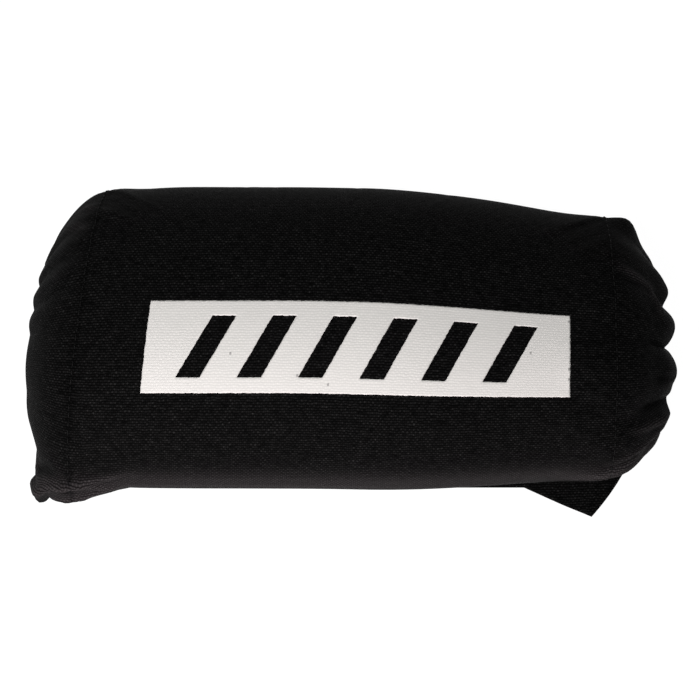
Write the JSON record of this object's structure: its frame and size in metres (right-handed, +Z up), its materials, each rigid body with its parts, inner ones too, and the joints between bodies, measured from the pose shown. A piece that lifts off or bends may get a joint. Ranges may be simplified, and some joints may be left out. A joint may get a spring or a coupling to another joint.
{
  "type": "roof rack pad",
  "caption": "Soft wrap-around pad for a roof rack bar: a foam block with a channel for the bar in a gathered cloth cover with a closing flap.",
  "frame": {"origin": "middle of the footprint, on the surface that the pad lies on", "axes": "+X along the pad to its more tightly gathered end, +Y across it to the side where the closing flap is sewn, +Z up out of the printed front"},
  "size_m": [0.1968, 0.0996, 0.0509],
  "materials": {
    "cover_cloth": "matt black plain-woven nylon",
    "foam": "fine closed-cell charcoal foam",
    "elastic": "ribbed woven elastic",
    "hook_tape": "moulded hooks on a woven tape",
    "loop_tape": "napped loops on a woven tape",
    "print_ink": "off-white screen-printed ink with the weave showing through"
  },
  "bodies": {
    "root": {"cover": "cover_cloth", "closing_flap": "cover_cloth", "foam_core": "foam", "elastic_left": "elastic", "elastic_right": "elastic", "hook_tape": "hook_tape", "loop_tape": "loop_tape", "printed_band": "print_ink"}
  },
  "joints": []
}
